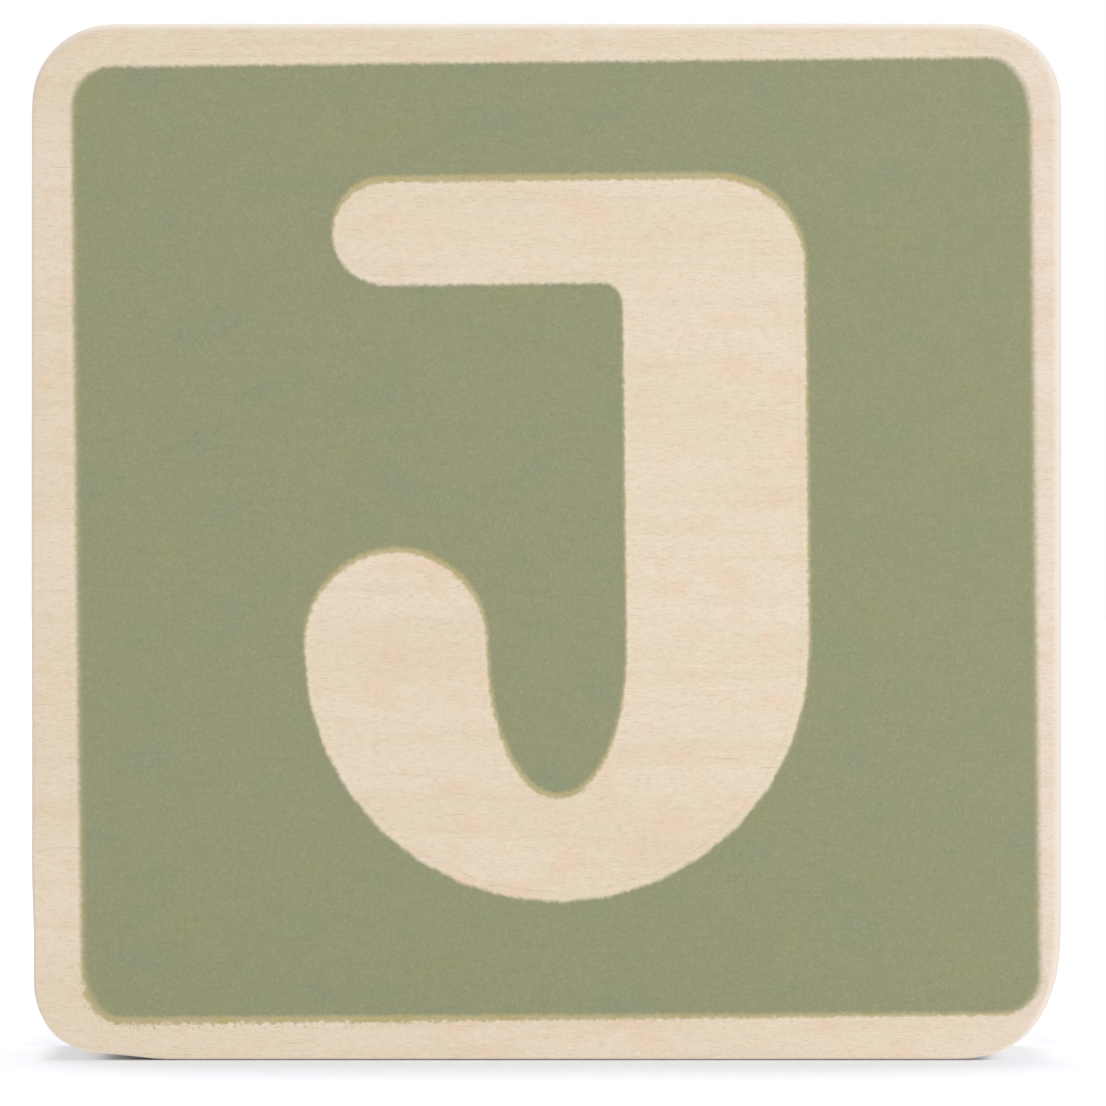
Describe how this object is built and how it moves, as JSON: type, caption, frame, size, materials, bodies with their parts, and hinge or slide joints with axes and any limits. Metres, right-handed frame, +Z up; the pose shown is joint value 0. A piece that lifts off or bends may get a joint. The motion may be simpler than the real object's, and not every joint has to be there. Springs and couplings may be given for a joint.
{
  "type": "letter train car",
  "caption": "Square laminated wooden tile that stands on its edge, printed with a capital letter left in bare wood, coupled to neighbouring cars by magnets hidden in its side edges.",
  "frame": {"origin": "on the surface that the car stands on, below the middle of the car's box", "axes": "+X to the right of someone who reads the letter, +Y from the printed face to the bare back, +Z up"},
  "size_m": [0.08, 0.0184, 0.0805],
  "materials": {
    "face_wood": "matte",
    "core_wood": "matte",
    "ochre_ink": "matte",
    "green_ink": "matte",
    "magnet_nickel": "satin"
  },
  "bodies": {
    "root": {"front_panel": "face_wood", "core_panel": "core_wood", "back_panel": "face_wood", "ochre_ink_pass": "ochre_ink", "green_ink_pass": "green_ink", "magnet_left_upper": "magnet_nickel", "magnet_left_lower": "magnet_nickel", "magnet_right_upper": "magnet_nickel", "magnet_right_lower": "magnet_nickel"}
  },
  "joints": []
}
